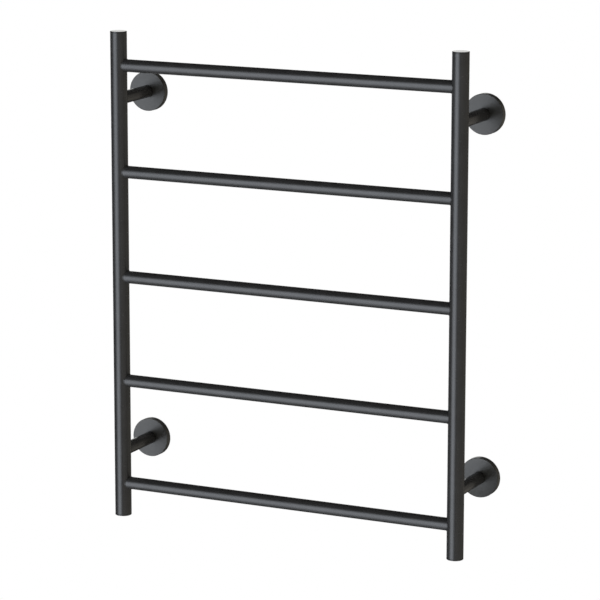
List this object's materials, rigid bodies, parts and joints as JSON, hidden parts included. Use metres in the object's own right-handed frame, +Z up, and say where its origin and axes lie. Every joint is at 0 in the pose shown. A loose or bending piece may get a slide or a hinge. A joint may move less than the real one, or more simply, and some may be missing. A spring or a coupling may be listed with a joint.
{
  "type": "towel warmer rack",
  "caption": "Wall-hung electric towel ladder of round tube, with straight rungs between two posts, short stand-offs and sliding round covers over screwed wall plates.",
  "frame": {"origin": "centre of the four wall plates on the wall plane: midway between the posts, at mid-height", "axes": "+X right seen from the room, +Y into the wall, +Z up"},
  "size_m": [0.61, 0.11, 0.742],
  "materials": {
    "black_powder_coat": "satin",
    "end_cap": "satin",
    "wall_plate": "satin",
    "grub_screw": "satin",
    "seal_rubber": "matte",
    "cable_silicone": "satin",
    "joint_sleeve": "satin",
    "cutout_case": "satin"
  },
  "bodies": {
    "ladder": {"post_left": "black_powder_coat", "post_right": "black_powder_coat", "rung_1": "black_powder_coat", "rung_2": "black_powder_coat", "rung_3": "black_powder_coat", "rung_4": "black_powder_coat", "rung_5": "black_powder_coat", "end_cap_top_left": "end_cap", "end_cap_bottom_left": "end_cap", "end_cap_top_right": "end_cap", "end_cap_bottom_right": "end_cap", "standoff_lower_left": "black_powder_coat", "standoff_lower_right": "black_powder_coat", "standoff_upper_left": "black_powder_coat", "standoff_upper_right": "black_powder_coat", "wall_plate_lower_left": "wall_plate", "wall_plate_lower_right": "wall_plate", "wall_plate_upper_left": "wall_plate", "wall_plate_upper_right": "wall_plate", "weld_beads_left": "black_powder_coat", "weld_beads_right": "black_powder_coat", "grub_screws": "grub_screw", "cable_grommet": "seal_rubber", "supply_joint": "joint_sleeve", "link_lead": "cable_silicone", "thermal_cutout": "cutout_case", "heating_cable": "cable_silicone", "end_seal": "joint_sleeve"},
    "sliding_cover_lower_left": {"cover_lower_left": "black_powder_coat", "cover_ring_lower_left": "seal_rubber"},
    "sliding_cover_lower_right": {"cover_lower_right": "black_powder_coat", "cover_ring_lower_right": "seal_rubber"},
    "sliding_cover_upper_left": {"cover_upper_left": "black_powder_coat", "cover_ring_upper_left": "seal_rubber"},
    "sliding_cover_upper_right": {"cover_upper_right": "black_powder_coat", "cover_ring_upper_right": "seal_rubber"}
  },
  "joints": [
    {"name": "cover_slide_lower_left", "type": "slide", "parent": "ladder", "child": "sliding_cover_lower_left", "axis": [0, -1, 0], "range_m": [0, 0.0738]},
    {"name": "cover_slide_lower_right", "type": "slide", "parent": "ladder", "child": "sliding_cover_lower_right", "axis": [0, -1, 0], "range_m": [0, 0.0738]},
    {"name": "cover_slide_upper_left", "type": "slide", "parent": "ladder", "child": "sliding_cover_upper_left", "axis": [0, -1, 0], "range_m": [0, 0.0738]},
    {"name": "cover_slide_upper_right", "type": "slide", "parent": "ladder", "child": "sliding_cover_upper_right", "axis": [0, -1, 0], "range_m": [0, 0.0738]}
  ]
}
